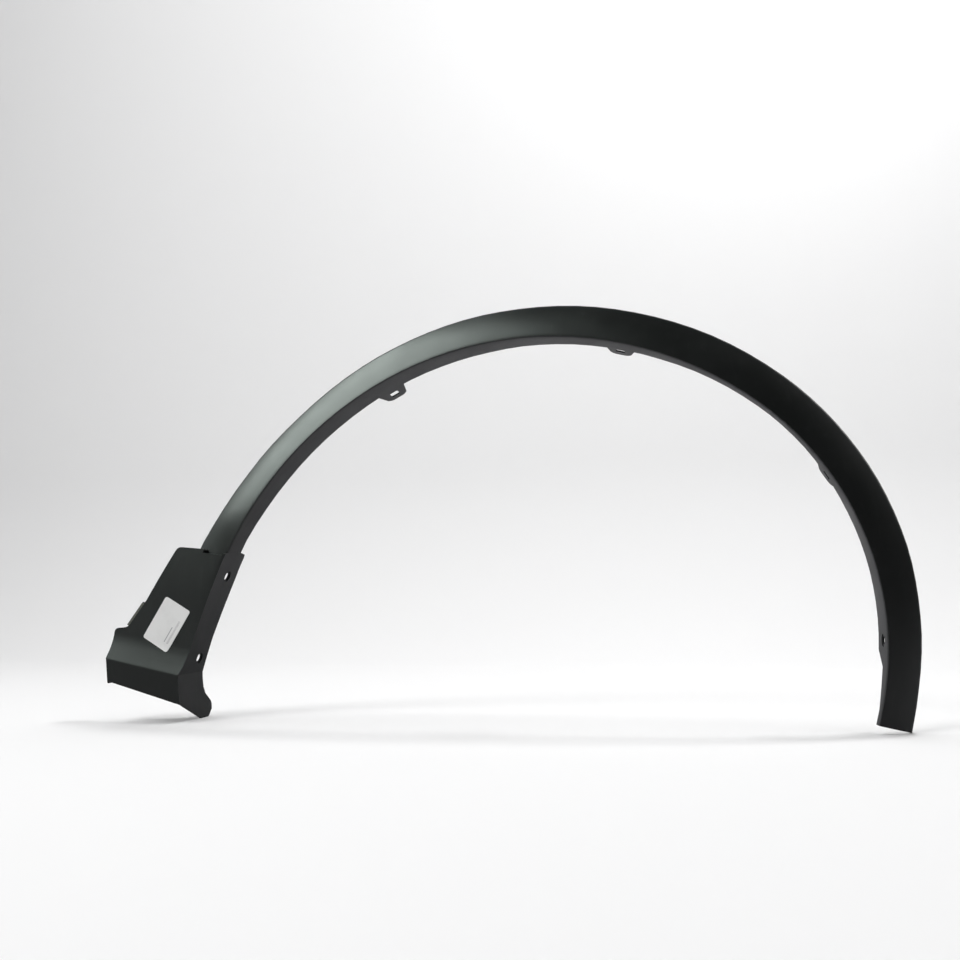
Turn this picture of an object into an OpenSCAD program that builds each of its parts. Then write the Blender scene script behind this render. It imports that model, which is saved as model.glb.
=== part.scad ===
// Wheel arch trim for one side of a compact car, moulded in one piece.
// Frame: origin in the middle of the lower screw hole, in the flange's wall.
// +X runs along the car towards the front foot, +Y into the body, +Z up.

/* [Arch curve] */
// Lip radius over the front foot
arc_r1 = 319.4; // [280:0.1:360]
// Lip radius over the top
arc_r2 = 388; // [350:0.1:430]
// Lip radius down the rear side
arc_r3 = 423.3; // [390:0.1:470]
// Lip radius beside the sill end
arc_r4 = 1242.6; // [900:0.1:1600]
// Angle where the front arc starts, at the front foot
ang_front = -13.8; // [-20:0.1:-8]
// Angle where the front arc meets the top arc
ang_12 = 51.7; // [40:0.1:60]
// Angle where the top arc meets the rear arc
ang_23 = 119.6; // [110:0.1:130]
// Angle where the rear arc meets the sill arc
ang_34 = 159.2; // [150:0.1:162]
// Angle of the lower screw hole on the sill arc
ang_hole = 164; // [163:0.1:165]
// Straight run of the front foot below the arc
foot_run = 16; // [4:0.5:30]
// Angle between two cross sections of the channel
ang_step = 3; // [1:0.5:4]

/* [Channel section] */
// Moulded wall
wall = 2.6; // [2:0.1:3.5]
// Setback of the outer edge behind the lip
set_back = 22; // [10:0.5:30]
// Depth of the outer return edge
return_d = 8; // [4:0.5:14]
// Corner size of the lip
lip_r = 4.5; // [2:0.1:7]
// Corner size of the outer edge
edge_r = 3.5; // [2:0.1:6]
// Crown of the face above a flat one
crown = 1.6; // [0:0.1:2.2]
// Scale on the band's width all round
width_scale = 1; // [0.9:0.01:1.1]
// Scale on the flange's depth all round
depth_scale = 1.03; // [0.9:0.01:1.1]

/* [Fixing tabs] */
// Wall of a tab
tab_wall = 1.8; // [1.6:0.1:3]
// Angle, reach past the lip, base length and tip length of the rear tab
tab_rear = [118.2, 84, 38, 20];
// The same for the top tab
tab_top = [76, 56, 36, 19];
// The same for the front tab
tab_front = [32.2, 37, 38, 20];
// Slot length along the arch
slot_l = 11; // [8:0.5:15]
// Slot height in the rear tab
slot_rear_h = 15; // [8:0.5:20]
// Slot height in the top tab
slot_top_h = 9; // [5:0.5:12]
// Slot height in the front tab
slot_front_h = 6; // [4:0.5:8]
// Material left between a slot and its tab's tip
slot_rim = 12; // [5:0.5:14]

/* [Screw holes] */
// Diameter of the three screw holes
hole_d = 9.2; // [6:0.1:11]
// Diameter of the recess round a screw hole on the wheel side
recess_d = 13.5; // [11:0.5:16]
// Depth of that recess
recess_t = 0.8; // [0.4:0.1:1]
// Wall left at a screw hole
hole_wall = 1.4; // [1.2:0.1:1.8]
// Depth of the sill holes behind the lip
hole_y = 27; // [18:0.5:34]
// Angle of the upper screw hole
ang_upper = 159.3; // [158:0.1:161]
// Angle of the front leg's screw hole
ang_leg = -1.1; // [-2:0.1:4]
// Depth of the front leg's screw hole behind the lip
leg_hole_y = 21; // [16:0.5:26]

/* [Sill end] */
// Height of the sill end's face in front of the lip
face_rise = 4; // [2:0.5:8]
// Kick-out of the crease in front of that face
kick = 12; // [6:0.5:20]
// Height over which the face curves out to the crease
kick_h = 30; // [15:1:45]
// Lean back of the lower face, from the crease to its foot
lower_back = 4; // [0:0.5:10]
// Lean back of the face's upper end
top_lean = 3.6; // [0:0.1:5]
// Height over which the upper end leans back
top_h = 60; // [30:1:70]
// Depth of the sill end's edge walls
skirt = 15; // [8:0.5:24]
// Depth of its top edge wall, down to the channel's face
skirt_top = 31; // [26:0.5:36]
// Corner radius of the sill end's outline
corner_r = 5; // [2:0.5:8]
// Bottom of the foot under the flange
foot_z = -72.5; // [-80:0.5:-60]
// Depth of the sill end's flange behind the lip
sill_flange = 47.5; // [38:0.5:56]
// Extra depth of the foot's heel
heel = 20; // [8:0.5:26]

/* [Label and pad] */
// Label length
label_l = 55; // [40:1:60]
// Label width
label_w = 36; // [25:1:38]
// Label thickness
label_t = 0.3; // [0.1:0.1:0.6]
// Slant of the label and of the sill end's rear edge
slant = 60; // [50:1:70]
// Foam pad length
pad_l = 31; // [20:1:34]
// Foam pad width
pad_w = 5.5; // [4:0.5:8]
// Foam pad thickness
pad_t = 3; // [2:0.5:5]

/* [Rear side] */
// Rib thickness
rib_t = 1.8; // [1.2:0.1:2.4]
// Angles of the ribs inside the channel
rib_angles = [-9, 9, 22, 43, 58, 68, 86, 97, 109, 128, 141];
// Angles of the clip towers inside the channel
tower_angles = [2, 37, 62.5, 91.5, 134.5, 149];
// Tower length along the arch
tower_l = 20; // [12:1:30]
// Tower width across the channel
tower_w = 14; // [10:1:20]
// Height of the tower's top behind the lip
tower_y = 26; // [22:1:32]

/* [Hidden] */
lip_y = -hole_y;
eps = 0.01;
lip_0 = -(recess_t + hole_wall / 2) * dir(ang_hole);
c4 = lip_0 - arc_r4 * dir(ang_hole);
c3 = c4 + (arc_r4 - arc_r3) * dir(ang_34);
c2 = c3 + (arc_r3 - arc_r2) * dir(ang_23);
c1 = c2 + (arc_r2 - arc_r1) * dir(ang_12);
ang_foot = ang_front - foot_run / (arc_r1 * PI / 180);
ang_end = 158.5;
stations = [ang_foot, ang_front, for (a = [-12:ang_step:ang_end - 0.5]) a, ang_end];

// Angle and band width measured across the face
width_at = [
    [-17, 38.7], [-9, 38.1], [3, 39.9], [16, 42.5], [30, 44], [50, 45.3], [62, 45.9],
    [80, 44.4], [98, 41.4], [115, 38.3], [132, 36], [144, 37.8], [150, 40.3], [158, 45]];
// Angle and flange depth behind the lip
depth_at = [
    [-17, 12], [-14, 12], [-10, 19.5], [-6, 21.5], [-5.3, 22], [-3.3, 41], [5, 37.5],
    [15, 32.5], [24, 29.5], [32, 24], [38, 19.5], [47, 18], [57, 19.5], [63, 22.5],
    [69, 27.5], [83, 32.5], [92, 36], [100, 41.5], [109, 43.5], [128, 45.5],
    [140, 44], [148, 40.5], [152, 36], [160, 36]];

// Sill end outline in x and z, from the top at the lip round by the rear
face_top_l = lip_0 + [-18.6, 131.6];
face_top_m = lip_0 + [16, 128.6];
wing_top_i = lip_0 + [-76.5, 37.1];
edge_mid = lip_0 + [-54.8, 67.7];
wing_top_o = lip_0 + [-93.2, 35.8];
crease_o = lip_0 + [-96, 2];
crease_i = lip_0 + [-4.6, -16.5];
wing_low = lip_0 + [-94.5, -30.2];
face_low = lip_0 + [-3, -51];
crease_dir = (crease_i - crease_o) / norm(crease_i - crease_o);
crease_up = [-crease_dir[1], crease_dir[0]];
crease_ang = atan2(crease_dir[1], crease_dir[0]);
face_y = lip_y - face_rise;
label_mid = lip_0 + [-27.3, 40.5];
pad_mid = lip_0 + [-69, 51];

// Sub-part to show

// Unit vector in the x and z plane
function dir(a) = [cos(a), sin(a)];
function centre(a) = a < ang_12 ? c1 : a < ang_23 ? c2 : a < ang_34 ? c3 : c4;
function radius(a) = a < ang_12 ? arc_r1 : a < ang_23 ? arc_r2 : a < ang_34 ? arc_r3 : arc_r4;

// Point of the lip at an angle, straight on below the front arc
function lip(a) =
    a < ang_front
        ? lip(ang_front) + (ang_front - a) * arc_r1 * PI / 180 * [sin(ang_front), -cos(ang_front)]
        : centre(a) + radius(a) * dir(a);
function out_dir(a) = dir(max(a, ang_front));

// Smooth reading of a table at an angle
function read(t, a, i = 0) =
    a <= t[i][0] || i + 1 >= len(t) ? t[i][1] :
    a < t[i + 1][0]
        ? t[i][1] + (t[i + 1][1] - t[i][1]) * ease((a - t[i][0]) / (t[i + 1][0] - t[i][0]))
        : read(t, a, i + 1);
function ease(u) = 0.5 * u + 0.5 * u * u * (3 - 2 * u);
function bend(p, q, s, u) = (1 - u) * (1 - u) * p + 2 * u * (1 - u) * q + u * u * s;

// Wheel side and body side of the channel's wall at an angle, from the
// flange's edge over the lip and the face to the outer return.
// Each point is its distance out from the lip and its depth behind it.
function wall_side(a, t, r_lip, r_edge) =
    let (
        w = width_scale * read(width_at, a),
        fd = depth_scale * read(depth_at, a),
        l = norm([w, set_back]),
        d = [w, set_back] / l,
        n = [-set_back, w] / l,
        lip_c = d * (t + t * set_back / l) * l / w + n * t,
        edge_c = d * (w - t + t * set_back / l) * l / w + n * t,
        p = lip_c + d * r_lip,
        q = edge_c - d * r_edge,
        lip_s = lip_c + [0, r_lip],
        edge_s = edge_c + [0, r_edge]
    )
    [[t, fd], lip_s, bend(lip_s, lip_c, p, 0.5), p,
        p + (q - p) / 3 - n * crown * 0.9, p + (q - p) * 2 / 3 - n * crown * 0.9,
        q, bend(q, edge_c, edge_s, 0.5), edge_s, [w - t + 0.4, set_back + return_d]];

function place(a, p) =
    let (q = lip(a) + p[0] * out_dir(a)) [q[0], lip_y + p[1], q[1]];

// Rounded outline: each corner becomes a short curve
function rounded(pts, r) = [
    for (i = [0:len(pts) - 1])
        let (
            p = pts[(i + len(pts) - 1) % len(pts)],
            q = pts[i],
            s = pts[(i + 1) % len(pts)],
            a = q + (p - q) / norm(p - q) * min(r, norm(p - q) / 2.1),
            b = q + (s - q) / norm(s - q) * min(r, norm(s - q) / 2.1)
        )
        for (u = [0:0.25:1]) bend(a, q, b, u)];

// Solid between the cross sections
module channel() {
    front = [for (a = stations) [for (p = wall_side(a, 0, lip_r, edge_r)) place(a, p)]];
    back = [for (a = stations) [for (p = wall_side(a, wall, 1.5, 1)) place(a, p)]];
    m = len(front[0]);
    k = len(front);
    half = m * k;
    polyhedron(
        points = concat([for (r = front) for (p = r) p], [for (r = back) for (p = r) p]),
        faces = concat(
            [for (i = [0:k - 2]) for (j = [0:m - 2]) let (b = i * m + j)
                each [[b, b + m, b + m + 1], [b, b + m + 1, b + 1]]],
            [for (i = [0:k - 2]) for (j = [0:m - 2]) let (b = half + i * m + j)
                each [[b, b + m + 1, b + m], [b, b + 1, b + m + 1]]],
            [for (i = [0:k - 2]) for (j = [0, m - 1]) let (b = i * m + j, c = b + half)
                each (j == 0
                    ? [[b, c, c + m], [b, c + m, b + m]]
                    : [[b, c + m, c], [b, b + m, c + m]])],
            [for (b = [0:m - 2]) each [[b, b + 1, b + 1 + half], [b, b + 1 + half, b + half]]],
            [for (j = [0:m - 2]) let (b = (k - 1) * m + j)
                each [[b, b + 1 + half, b + 1], [b, b + half, b + 1 + half]]]));
}

// Moves a shape drawn as x along the arch, y into the body and z outwards
module on_lip(a) {
    p = lip(a);
    translate([p[0], lip_y, p[1]])
        rotate([0, 90 - a, 0])
            children();
}

// Extrudes an outline in x and z between two depths
module plate(pts, y0, y1) {
    translate([0, y1, 0])
        rotate([90, 0, 0])
            linear_extrude(y1 - y0)
                polygon(pts);
}

// Flat tab at the flange's edge, flush with its wheel side
module tab(t) {
    fd = depth_scale * read(depth_at, t[0]);
    on_lip(t[0])
        translate([0, 0, 0.25])
            linear_extrude(tab_wall)
            polygon(concat(
                [[-t[2] / 2, fd - 6], [t[2] / 2, fd - 6]],
                [for (u = [0:0.25:1]) bend([t[3] / 2 + 3, t[1] - 7], [t[3] / 2, t[1]], [t[3] / 2 - 5, t[1]], u)],
                [for (u = [0:0.25:1]) bend([5 - t[3] / 2, t[1]], [-t[3] / 2, t[1]], [-t[3] / 2 - 3, t[1] - 7], u)]));
}

// Slot through a tab, with rounded corners
module slot(t, h) {
    on_lip(t[0])
        translate([0, t[1] - slot_rim - h / 2, -3])
            linear_extrude(9)
                polygon(rounded([[-slot_l, -h] / 2, [slot_l, -h] / 2, [slot_l, h] / 2, [-slot_l, h] / 2], 2));
}

// Screw hole through the flange, in a shallow recess on both sides
module hole(a, y) {
    on_lip(a)
        translate([0, y, 0]) {
            translate([0, 0, -4])
                cylinder(d = hole_d, h = 12, $fn = 64);
            translate([0, 0, recess_t - 4])
                cylinder(d = recess_d, h = 4, $fn = 64);
            translate([0, 0, recess_t + hole_wall])
                cylinder(d = recess_d + 2, h = wall + 1, $fn = 64);
        }
}

// Thin rib across the channel
module rib(a) {
    w = width_scale * read(width_at, a);
    fd = depth_scale * read(depth_at, a);
    h = min(fd - 2, set_back + return_d - 4);
    on_lip(a)
        rotate([0, -90, 0])
            translate([0, 0, -rib_t / 2])
                linear_extrude(rib_t)
                    polygon([
                        [0.6, 1.4],
                        [w - 1, set_back * (w - 1) / w + 1],
                        [w - 1, set_back + return_d - 2],
                        [w * 0.55, set_back + 3],
                        [wall, h],
                        [0.6, h]]);
}

// Open box that holds a body clip, on the back of the face
module tower(a) {
    w = width_scale * read(width_at, a);
    on_lip(a)
        difference() {
            translate([-tower_l / 2, 0, w * 0.5 - tower_w / 2])
                cube([tower_l, tower_y, tower_w]);
            translate([-tower_l / 2 + wall, -1, w * 0.5 - tower_w / 2 + wall])
                cube([tower_l - 2 * wall, tower_y + 1 - wall, tower_w + 5]);
            translate([0, tower_y - wall - 1, w * 0.5 + 1])
                rotate([-90, 0, 0])
                    cylinder(d = 7, h = wall + 2, $fn = 48);
            translate([-tower_l, -eps, 0])
                rotate([90, 0, 90])
                    linear_extrude(2 * tower_l)
                        polygon([[0, 0], [-30, 0], [-30, w], [set_back + 1, w], [1, 0]]);
        }
}

function lip_z(a) = lip(a)[1];
sill_top = 156;
// Height of the face over the crease, at its upper end
face_h = 143;
// Step of the sill end's flange in front of the channel's
proud = 0.4;
// Lip side of the sill end's outline, top to bottom
lip_line = concat(
    [for (a = [sill_top:0.8:164.8]) lip(a) - proud * out_dir(a)],
    [crease_i, face_low]);
sill_outline = concat(
    lip_line,
    rounded([wing_low, crease_o, wing_top_o, wing_top_i, edge_mid, face_top_l, face_top_m], corner_r));
// Inside of the edge walls
sill_inside = concat(
    [for (a = [sill_top + 0.8:0.8:164.8]) lip(a) + wall * out_dir(a)],
    [crease_i + [-wall, -1], face_low + [-wall, wall]],
    [wing_low + [wall, wall], crease_o + [wall, 0], wing_top_o + [wall, -wall],
     wing_top_i + [-1, -wall], edge_mid + [wall, 0],
     face_top_l + [wall * 0.8, -wall], face_top_m + [0, -wall]]);

// Height over the crease and depth of the face, foot to top
function face_curve(o) = concat(
    [[-60, face_y - kick + lower_back * 60 / 33 + o]],
    [[-2.5, face_y - kick + 0.4 + o], [-0.8, face_y - kick + o], [1.2, face_y - kick + 0.9 + o]],
    [for (u = [0.1:0.1:1]) [kick_h * u, face_y - kick * (1 - u) * (1 - u) + o]],
    [for (u = [0.1:0.15:1.45]) [face_h - top_h * (1 - u), face_y + top_lean * u * u + o]]);

// Everything behind the face's surface, moved back by o, up to a depth
module behind_face(o, y1) {
    translate([crease_o[0] - 40 * crease_dir[0], 0, crease_o[1] - 40 * crease_dir[1]])
        rotate([0, -crease_ang, 0])
            rotate([90, 0, 90])
                linear_extrude(220)
                    polygon([for (p = concat([for (q = face_curve(o)) [q[1], q[0]]], [[y1, face_h + top_h * 0.45], [y1, -60]])) p]);
}

// Raised tray at the sill end with its edge walls
module sill_tray() {
    difference() {
        intersection() {
            plate(sill_outline, -80, face_y + skirt_top);
            behind_face(0, face_y + skirt_top + 5);
        }
        intersection() {
            plate(sill_inside, -80, face_y + skirt_top + 1);
            behind_face(wall, face_y + skirt_top + 10);
        }
        translate([-200, 0, 0])
            rotate([90, 0, 90])
                linear_extrude(400)
                    polygon([
                        [face_y + skirt, -80], [face_y + skirt, 78], [face_y + skirt + 3, 92],
                        [face_y + skirt_top - 3, 112], [face_y + skirt_top, 118],
                        [face_y + skirt_top + 2, 118], [face_y + skirt_top + 2, -80]]);
    }
}

// Flange of the sill end with its top notch and its foot
module sill_flange_wall() {
    line = concat(
        [for (a = [sill_top - 0.8:0.8:164.8]) lip(a) - proud * out_dir(a)],
        [crease_i, face_low, [0, foot_z]]);
    back = concat(
        [for (a = [sill_top - 0.8:0.8:164.8]) lip(a) + (wall + proud) * out_dir(a)],
        [crease_i + [-wall - proud, -1], face_low - [wall + proud, 0], [-wall, foot_z]]);
    top = lip_z(sill_top - 0.8);
    r = lip_y + sill_flange;
    intersection() {
        plate(concat(line, [for (i = [len(back) - 1:-1:0]) back[i]]), -60, 60);
        translate([-200, 0, 0])
            rotate([90, 0, 90])
                linear_extrude(400)
                    polygon([
                        [face_y + 1, top - 3], [lip_y + 34, top], [r + 2, top - 2], [r + 3.5, top - 6],
                        [r + 3.5, 94], [r + 2, 69], [r, 45], [r - 2, 22], [r - 1.5, -10], [r - 1, -26],
                        [r + 1, -36], [r + 6, -44], [r + heel, -54], [r + heel + 2, -58], [r + heel + 2, -64],
                        [r + heel - 6, foot_z + 1], [r + heel - 9, foot_z], [r - 6, foot_z],
                        [face_y - 4, face_low[1]], [face_y - kick + 2, -20], [face_y, 10]]);
    }
}

// Stiffening ribs between the face and the flange of the sill end
module sill_ribs() {
    for (z = [14, 50, 106])
        intersection() {
            translate([-140, face_y + 1, z])
                cube([180, skirt + 12, rib_t]);
            plate(sill_outline, -80, 40);
            behind_face(1, 40);
            plate([[-140, z - 5], [40, z - 5], [40, z + 5], [-140, z + 5]], -80, 40);
            translate([0, 0, z - 2])
                linear_extrude(6)
                    polygon([[-120, -60], [-120, face_y + skirt - 4], [-40, face_y + skirt - 4],
                        [60, face_y + skirt + 14], [60, -60]]);
        }
}

// Small joggled ledge that carries the foam pad
module pad_ledge() {
    translate([pad_mid[0], face_y + 7, pad_mid[1]])
        rotate([0, 35 - 90, 0])
            translate([-pad_l / 2 - 1, 0, -pad_w / 2 - 5])
                cube([pad_l + 2, wall, pad_w + 6]);
}

module arch_moulding() {
    color([0.09, 0.09, 0.1])
        difference() {
            union() {
                channel();
                tab(tab_rear);
                tab(tab_top);
                tab(tab_front);
                for (a = rib_angles)
                    rib(a);
                for (a = tower_angles)
                    tower(a);
                sill_tray();
                sill_flange_wall();
                sill_ribs();
                pad_ledge();
            }
            slot(tab_rear, slot_rear_h);
            slot(tab_top, slot_top_h);
            slot(tab_front, slot_front_h);
            hole(ang_hole, hole_y);
            hole(ang_upper, hole_y);
            hole(ang_leg, leg_hole_y);
        }
}

module label() {
    color([0.85, 0.85, 0.84])
        intersection() {
            translate([label_mid[0], 0, label_mid[1]])
                rotate([0, -slant, 0])
                    translate([0, face_y + 20, 0])
                        rotate([90, 0, 0])
                            linear_extrude(60)
                                polygon(rounded([[-label_l, -label_w] / 2, [label_l, -label_w] / 2,
                                    [label_l, label_w] / 2, [-label_l, label_w] / 2], 3));
            difference() {
                behind_face(-label_t, face_y + 30);
                behind_face(0, face_y + 40);
            }
        }
}

module foam_pad() {
    color([0.42, 0.44, 0.4])
        translate([pad_mid[0], face_y + 7 - pad_t, pad_mid[1]])
            rotate([0, 35 - 90, 0])
                translate([-pad_l / 2, 0, -pad_w / 2])
                    cube([pad_l, pad_t, pad_w]);
}

arch_moulding();
label();
foam_pad();
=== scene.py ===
import bpy
import math
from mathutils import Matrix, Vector


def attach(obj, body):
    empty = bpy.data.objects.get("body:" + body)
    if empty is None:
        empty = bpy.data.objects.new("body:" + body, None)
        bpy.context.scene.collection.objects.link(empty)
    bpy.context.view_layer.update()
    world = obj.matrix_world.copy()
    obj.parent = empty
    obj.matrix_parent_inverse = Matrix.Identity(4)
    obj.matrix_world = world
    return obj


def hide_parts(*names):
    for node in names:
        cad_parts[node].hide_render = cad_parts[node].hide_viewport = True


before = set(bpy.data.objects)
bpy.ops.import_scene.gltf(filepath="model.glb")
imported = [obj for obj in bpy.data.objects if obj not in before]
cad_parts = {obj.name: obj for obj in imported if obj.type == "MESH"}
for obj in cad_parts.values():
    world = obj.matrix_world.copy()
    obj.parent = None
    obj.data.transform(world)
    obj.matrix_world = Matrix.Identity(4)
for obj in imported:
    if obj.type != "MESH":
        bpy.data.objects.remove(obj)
bpy.ops.object.select_all(action="DESELECT")
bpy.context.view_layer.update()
scene = bpy.context.scene


# ---------- shader nodes ----------
class Tree:
    """The nodes of a material or of the world."""

    def __init__(self, owner):
        self.nodes = owner.node_tree.nodes
        self.links = owner.node_tree.links

    def node(self, kind, settings, sockets, out=0):
        """A node of this kind, its settings first and then its sockets' values or links."""
        n = self.nodes.new(kind)
        for key, value in settings.items():
            setattr(n, key, value)
        for key, value in sockets.items():
            self.feed(n, key, value)
        return Socket(self, n.outputs[out])

    def feed(self, n, key, value):
        if isinstance(value, Socket):
            self.links.new(value.socket, n.inputs[key])
        else:
            n.inputs[key].default_value = value

    def coords(self):
        return self.node("ShaderNodeTexCoord", {}, {}, "Object")

    def axis(self, vector, name):
        return self.node("ShaderNodeSeparateXYZ", {}, {0: vector}, name)

    def stretched(self, vector, scale, turn=(0, 0, 0)):
        return self.node("ShaderNodeMapping", {}, {0: vector, "Scale": scale, "Rotation": turn})

    def noise(self, vector, scale, detail, roughness):
        values = {"Vector": vector, "Scale": scale, "Detail": detail, "Roughness": roughness}
        return self.node("ShaderNodeTexNoise", {}, values)

    def mix(self, factor, a, b):
        """Colour a where the factor is 0, and b where it is 1."""
        colours = [c if isinstance(c, Socket) else (*c, 1) for c in (a, b)]
        values = {"Factor": factor, 6: colours[0], 7: colours[1]}
        return self.node("ShaderNodeMix", {"data_type": "RGBA"}, values, 2)

    def bump(self, height, strength, distance):
        return self.node("ShaderNodeBump", {}, {"Strength": strength, "Distance": distance, "Height": height})

    def glossy_ray(self):
        return self.node("ShaderNodeLightPath", {}, {}, "Is Glossy Ray")


class Socket:
    """A node's output that takes plain arithmetic."""

    def __init__(self, tree, socket):
        self.tree = tree
        self.socket = socket

    def maths(self, operation, *others):
        return self.tree.node("ShaderNodeMath", {"operation": operation}, dict(enumerate((self, *others))))

    def __add__(self, other):
        return self.maths("ADD", other)

    def __sub__(self, other):
        return self.maths("SUBTRACT", other)

    def __mul__(self, other):
        return self.maths("MULTIPLY", other)

    __radd__ = __add__
    __rmul__ = __mul__

    def __rsub__(self, other):
        return self * -1.0 + other

    def size(self):
        return self.maths("ABSOLUTE")

    def fraction(self):
        return self.maths("FRACT")

    def ramp(self, start, end, before=0.0, after=1.0):
        """One value before the start, another after the end, and smooth between."""
        values = {0: self, 1: start, 2: end, 3: before, 4: after}
        return self.tree.node("ShaderNodeMapRange", {"interpolation_type": "SMOOTHSTEP"}, values)


def new_material(name):
    m = bpy.data.materials.new(name)
    m.use_nodes = True
    return m, Tree(m), m.node_tree.nodes["Principled BSDF"]


# ---------- materials ----------
def black_plastic():
    """Grained black moulding: worn smoother along the band, coarser at the sill end."""
    m, tree, shader = new_material("black_moulding_look")
    c = tree.coords()
    grain = tree.noise(c, 1300, 2, 0.6)
    mottle = tree.noise(c, 16, 5, 0.62)
    specks = tree.noise(tree.stretched(c, (1, 1, 0.35), (0, 0.3, 0)), 95, 3, 0.6)
    scratch = tree.noise(tree.stretched(c, (210, 210, 12), (0, 0.25, 0)), 1.0, 3, 0.6).ramp(0.60, 0.74)
    sill_end = tree.axis(c, "X").ramp(-0.005, 0.045, 1.0, 0.0)
    dust = specks.ramp(0.55, 0.8) * 0.5 + scratch * 0.5
    clean, dusty = (0.0052, 0.0058, 0.0056), (0.0115, 0.0125, 0.012)
    tree.feed(shader, "Base Color", tree.mix(dust, clean, dusty))
    tree.feed(shader, "Roughness", mottle.ramp(0.3, 0.75, 0.33, 0.41) + scratch * 0.05 + sill_end * 0.2)
    tree.feed(shader, "Normal", tree.bump(grain + scratch * 0.3, 0.12, 0.00025))
    return m


LABEL_MIDDLE = (-25.86, 40.09)  # x and z of the label's middle, in mm
LABEL_LEAN = (0.5, 0.866)  # its long side's direction in x and z


def paper():
    """Bare sticker with a few faint generic bars along one side."""
    m, tree, shader = new_material("label_look")
    c = tree.coords()
    in_mm = tree.stretched(c, (1000, 1000, 1000))
    x = tree.axis(in_mm, "X") - LABEL_MIDDLE[0]
    z = tree.axis(in_mm, "Z") - LABEL_MIDDLE[1]
    along = x * LABEL_LEAN[0] + z * LABEL_LEAN[1]
    across = z * LABEL_LEAN[0] - x * LABEL_LEAN[1]

    def row(middle, half_height, blur, start, half_length):
        height = (across + middle).size().ramp(half_height, half_height + blur, 1.0, 0.0)
        length = (along + start).size().ramp(half_length, half_length + 0.4, 1.0, 0.0)
        return height * length

    bars = ((along * 0.9).fraction() - 0.5).size().ramp(0.18, 0.26, 1.0, 0.0)
    wear = tree.noise(c, 60, 4, 0.6)
    ink = (row(12.6, 1.1, 0.4, 4.0, 15.0) * bars + row(8.2, 0.4, 0.3, 9.0, 9.5)) * wear.ramp(0.2, 0.55, 0.35, 1.0)
    marks = ink * 0.9 + wear.ramp(0.45, 0.8) * 0.12
    tree.feed(shader, "Base Color", tree.mix(marks, (0.78, 0.78, 0.77), (0.36, 0.36, 0.37)))
    tree.feed(shader, "Roughness", 0.55)
    return m


def foam():
    """Grey-olive foam with open cells."""
    m, tree, shader = new_material("foam_look")
    cells = tree.noise(tree.coords(), 700, 3, 0.7)
    tree.feed(shader, "Base Color", tree.mix(cells.ramp(0.35, 0.65), (0.075, 0.08, 0.066), (0.17, 0.175, 0.145)))
    tree.feed(shader, "Roughness", 0.95)
    tree.feed(shader, "Normal", tree.bump(cells, 0.5, 0.0008))
    return m


def backdrop():
    """White to the camera and the light, dimmer in the plastic's reflections."""
    m, tree, shader = new_material("backdrop")
    white, mirrored_floor, mirrored_wall = (0.84, 0.84, 0.84), (0.28, 0.28, 0.29), (0.62, 0.62, 0.63)
    up = tree.axis(tree.coords(), "Z").ramp(-0.06, 0.10)
    mirrored = tree.mix(up, mirrored_floor, mirrored_wall)
    tree.feed(shader, "Base Color", tree.mix(tree.glossy_ray(), white, mirrored))
    tree.feed(shader, "Roughness", 1.0)
    tree.feed(shader, "Specular IOR Level", 0.0)
    return m


# ---------- the trim ----------
WELD = 0.00002  # corners nearer than this are one
FLAT = math.radians(0.4)  # faces that lean less than this are one
EDGE_BEVEL = 0.0006
SHARP_EDGE = math.radians(50)
SMOOTH_UP_TO = math.radians(38)


def only(o):
    bpy.ops.object.select_all(action="DESELECT")
    o.select_set(True)
    bpy.context.view_layer.objects.active = o


def merged_copy(node, name):
    """A welded copy of a CAD node, with its place in its mesh."""
    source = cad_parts[node]
    o = source.copy()
    o.data = source.data.copy()
    o.name = name
    o.parent = None
    o.matrix_world = source.matrix_world
    scene.collection.objects.link(o)
    only(o)
    bpy.ops.object.transform_apply(location=True, rotation=True, scale=True)
    bpy.ops.object.mode_set(mode="EDIT")
    bpy.ops.mesh.select_all(action="SELECT")
    bpy.ops.mesh.remove_doubles(threshold=WELD)
    bpy.ops.mesh.dissolve_limited(angle_limit=FLAT)
    bpy.ops.object.mode_set(mode="OBJECT")
    return o


moulding = merged_copy("arch_moulding", "moulding_skin")
bevel = moulding.modifiers.new("edges", "BEVEL")
bevel.width = EDGE_BEVEL
bevel.segments = 2
bevel.limit_method = "ANGLE"
bevel.angle_limit = SHARP_EDGE
bpy.ops.object.modifier_apply(modifier=bevel.name)
bpy.ops.object.shade_smooth_by_angle(angle=SMOOTH_UP_TO)
even_shading = moulding.modifiers.new("normals", "WEIGHTED_NORMAL")
even_shading.keep_sharp = True
even_shading.weight = 60
bpy.ops.object.modifier_apply(modifier=even_shading.name)
moulding.data.materials.clear()
moulding.data.materials.append(black_plastic())
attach(moulding, "root")
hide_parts("arch_moulding")

for node, look in (("label", paper()), ("foam_pad", foam())):
    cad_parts[node].data.materials.clear()
    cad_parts[node].data.materials.append(look)


# ---------- floor, wall and card ----------
# The trim's two feet are about 4 mm apart in height, so the floor leans a little and both touch it.
corners = [moulding.matrix_world @ v.co for v in moulding.data.vertices]
LEFT_FOOT = min((c for c in corners if c.x < 0.2), key=lambda c: c.z)
RIGHT_FOOT = min((c for c in corners if c.x > 0.6), key=lambda c: c.z)
LEAN = math.atan2(RIGHT_FOOT.z - LEFT_FOOT.z, RIGHT_FOOT.x - LEFT_FOOT.x)
FOOT_GAP = 0.0001
MIDDLE_X = 0.5
FLOOR_FRONT = -3.0
FLOOR_WIDTH = 14
WALL_Y = 1.4
WALL_HEIGHT = 5.0
COVE_RADIUS = 0.5


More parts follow.
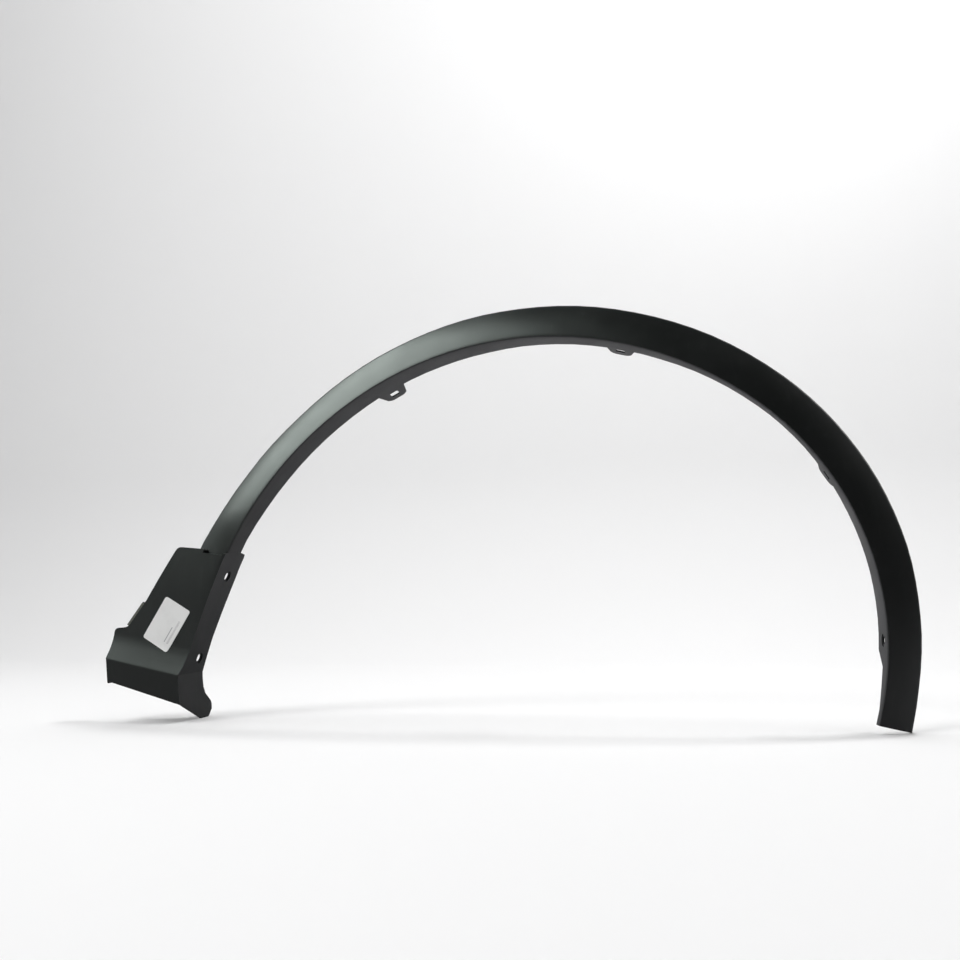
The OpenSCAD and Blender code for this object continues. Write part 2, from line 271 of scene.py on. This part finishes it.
def plane(name, size, place, turn=(0, 0, 0)):
    """A flat sheet of this size, turned and in place."""
    bpy.ops.object.select_all(action="DESELECT")
    bpy.ops.mesh.primitive_plane_add(size=1, location=place, rotation=turn)
    o = bpy.context.object
    o.name = name
    o.scale = (*size, 1)
    bpy.ops.object.transform_apply(location=True, rotation=True, scale=True)
    return o


def pick_edges(o, wanted):
    """In edit mode, the edges whose two ends are both wanted."""
    bpy.ops.object.mode_set(mode="EDIT")
    bpy.ops.mesh.select_mode(type="EDGE")
    bpy.ops.mesh.select_all(action="DESELECT")
    bpy.ops.object.mode_set(mode="OBJECT")
    for e in o.data.edges:
        e.select = all(wanted(o.data.vertices[v].co) for v in e.vertices)
    bpy.ops.object.mode_set(mode="EDIT")


def floor_and_wall():
    """A floor that runs up into a wall through a round cove."""
    depth = WALL_Y - FLOOR_FRONT
    place = (MIDDLE_X - LEFT_FOOT.x, FLOOR_FRONT + depth / 2, 0)
    o = plane("floor_and_wall", (FLOOR_WIDTH, depth), place)
    pick_edges(o, lambda p: p.y > WALL_Y - 0.01)
    bpy.ops.mesh.extrude_region_move(TRANSFORM_OT_translate={"value": (0, 0, WALL_HEIGHT)})
    bpy.ops.object.mode_set(mode="OBJECT")
    pick_edges(o, lambda p: p.y > WALL_Y - 0.01 and p.z < 0.01)
    bpy.ops.mesh.bevel(offset=COVE_RADIUS, segments=16, profile=0.5)
    bpy.ops.object.mode_set(mode="OBJECT")
    o.location = (LEFT_FOOT.x, 0, LEFT_FOOT.z - FOOT_GAP)
    o.rotation_euler = (0, -LEAN, 0)
    bpy.ops.object.transform_apply(location=True, rotation=True, scale=True)
    bpy.ops.object.shade_smooth()
    o.data.materials.append(backdrop())


def dark_card(name, middle, toward, size):
    """Seen only in reflections, it keeps the window off the sill end's flare."""
    turn = (Vector(toward) - Vector(middle)).to_track_quat("Z", "Y").to_euler()
    o = plane(name, size, middle, turn)
    m, tree, shader = new_material(name)
    tree.feed(shader, "Base Color", (0.01, 0.01, 0.01, 1))
    tree.feed(shader, "Roughness", 1.0)
    o.data.materials.append(m)
    o.visible_camera = False
    o.visible_diffuse = False
    o.visible_shadow = False


floor_and_wall()
dark_card("flag", (-0.145, -0.115, 0.21), (-0.045, -0.035, -0.005), (0.20, 0.15))


# ---------- camera ----------
CAMERA_TILT = math.radians(90 + 7.15)
CAMERA_TURN = math.radians(10.15)
camera = bpy.data.objects.new("camera", bpy.data.cameras.new("camera"))
scene.collection.objects.link(camera)
scene.camera = camera
camera.data.sensor_width = 36
camera.data.lens = 35.625
camera.location = (0.535442, -1.077, 0.069386)
camera.rotation_euler = (CAMERA_TILT, 0, CAMERA_TURN)


# ---------- light ----------
def area(name, place, target, size, power, colour=(1, 1, 1)):
    data = bpy.data.lights.new(name, "AREA")
    data.shape = "RECTANGLE"
    data.size, data.size_y = size
    data.energy = power
    data.color = colour
    o = bpy.data.objects.new(name, data)
    o.location = place
    o.rotation_euler = (Vector(target) - Vector(place)).to_track_quat("-Z", "Y").to_euler()
    scene.collection.objects.link(o)
    return o


# These light the floor, the wall and the plastic's own colour.
for lamp in (area("key", (-0.7, -1.3, 1.9), (0.4, 0.1, 0.0), (0.7, 0.7), 17),
             area("overhead", (1.25, 0.45, 2.3), (0.2, 0.0, 0.0), (0.32, 0.32), 19),
             area("wall_light", (0.5, 0.0, 3.2), (0.5, 1.2, 0.8), (3.4, 1.4), 40)):
    lamp.visible_glossy = False

# These are seen only as highlights on the band.
for lamp in (area("window", (-1.25, -0.78, 1.92), (0.24, 0.0, 0.25), (2.5, 2.1), 122, (0.89, 1.0, 0.94)),
             area("rim", (2.6, 1.0, 1.7), (0.7, 0.0, 0.2), (0.9, 1.6), 14)):
    lamp.visible_diffuse = False
    lamp.visible_transmission = False

world = bpy.data.worlds.new("world")
scene.world = world
world.use_nodes = True
sky = world.node_tree.nodes["Background"]
air = Tree(world)
air.feed(sky, "Color", air.mix(air.glossy_ray(), (0.97, 0.97, 0.98), (0.13, 0.14, 0.145)))
air.feed(sky, "Strength", 0.34)
scene.view_settings.view_transform = "Standard"
